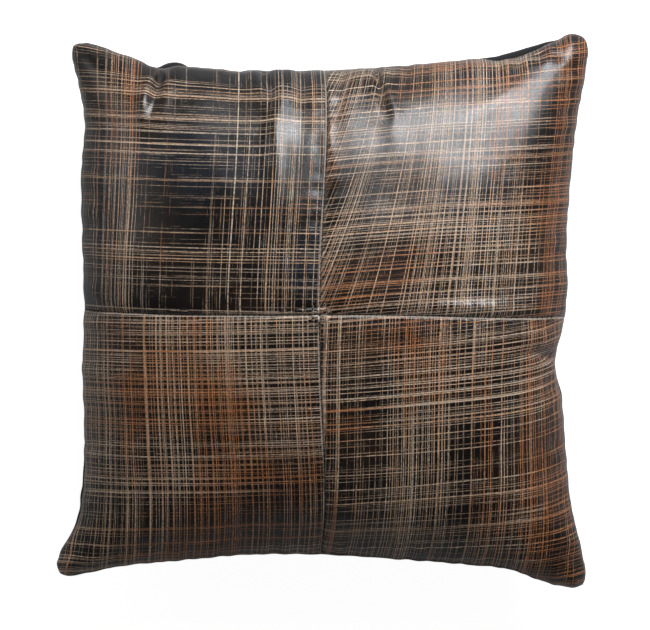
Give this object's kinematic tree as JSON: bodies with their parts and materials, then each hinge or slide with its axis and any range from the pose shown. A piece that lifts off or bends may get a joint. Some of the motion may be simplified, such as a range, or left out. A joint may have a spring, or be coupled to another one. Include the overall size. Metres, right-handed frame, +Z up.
{
  "type": "throw pillow",
  "caption": "Square throw pillow with a leather patchwork front, a plain back and flared corners, closed by a zip in its bottom seam around a stuffed insert.",
  "frame": {"origin": "middle of the flat patch that the back rests on, at its bottom", "axes": "+Z up out of the leather front, +Y to the top edge, +X to the right edge seen from the front"},
  "size_m": [0.432, 0.444, 0.1482],
  "materials": {
    "brushed_leather": "semi-gloss, hand brushed",
    "black_cloth": "matt woven",
    "dark_thread": "satin",
    "zip_tape": "matt woven",
    "zip_chain": "satin",
    "zip_stop": "brushed",
    "zip_slider": "satin black",
    "label_cloth": "satin",
    "insert_cloth": "matt cotton",
    "insert_thread": "matt",
    "filling": "lofted fibre"
  },
  "bodies": {
    "cushion": {"front_upper_left": "brushed_leather", "front_upper_right": "brushed_leather", "front_lower_left": "brushed_leather", "front_lower_right": "brushed_leather", "back_panel": "black_cloth", "seam_thread_upper": "dark_thread", "seam_thread_lower": "dark_thread", "seam_thread_middle": "dark_thread", "edge_thread_top": "dark_thread", "edge_thread_left": "dark_thread", "edge_thread_right": "dark_thread", "edge_thread_bottom": "dark_thread", "zip_tape_front": "zip_tape", "zip_tape_back": "zip_tape", "zip_coil_front": "zip_chain", "zip_coil_back": "zip_chain", "zip_top_stops": "zip_stop", "zip_bottom_stop": "zip_stop", "zip_thread_front": "dark_thread", "zip_thread_back": "dark_thread", "care_label": "label_cloth", "insert_case_front": "insert_cloth", "insert_case_back": "insert_cloth", "insert_thread": "insert_thread", "insert_filling": "filling"},
    "slider": {"zip_slider": "zip_slider"},
    "pull": {"zip_pull": "zip_slider"}
  },
  "joints": [
    {"name": "zip_slider_run", "type": "hinge", "parent": "cushion", "child": "slider", "pos_m": [0, -1.396, 0.06], "axis": [0, 0, 1], "range_deg": [0, 13.41]},
    {"name": "zip_pull_swing", "type": "hinge", "parent": "slider", "child": "pull", "pos_m": [0.14058, -0.19983, 0.06], "axis": [0, 0, 1], "range_deg": [0, 180]}
  ]
}
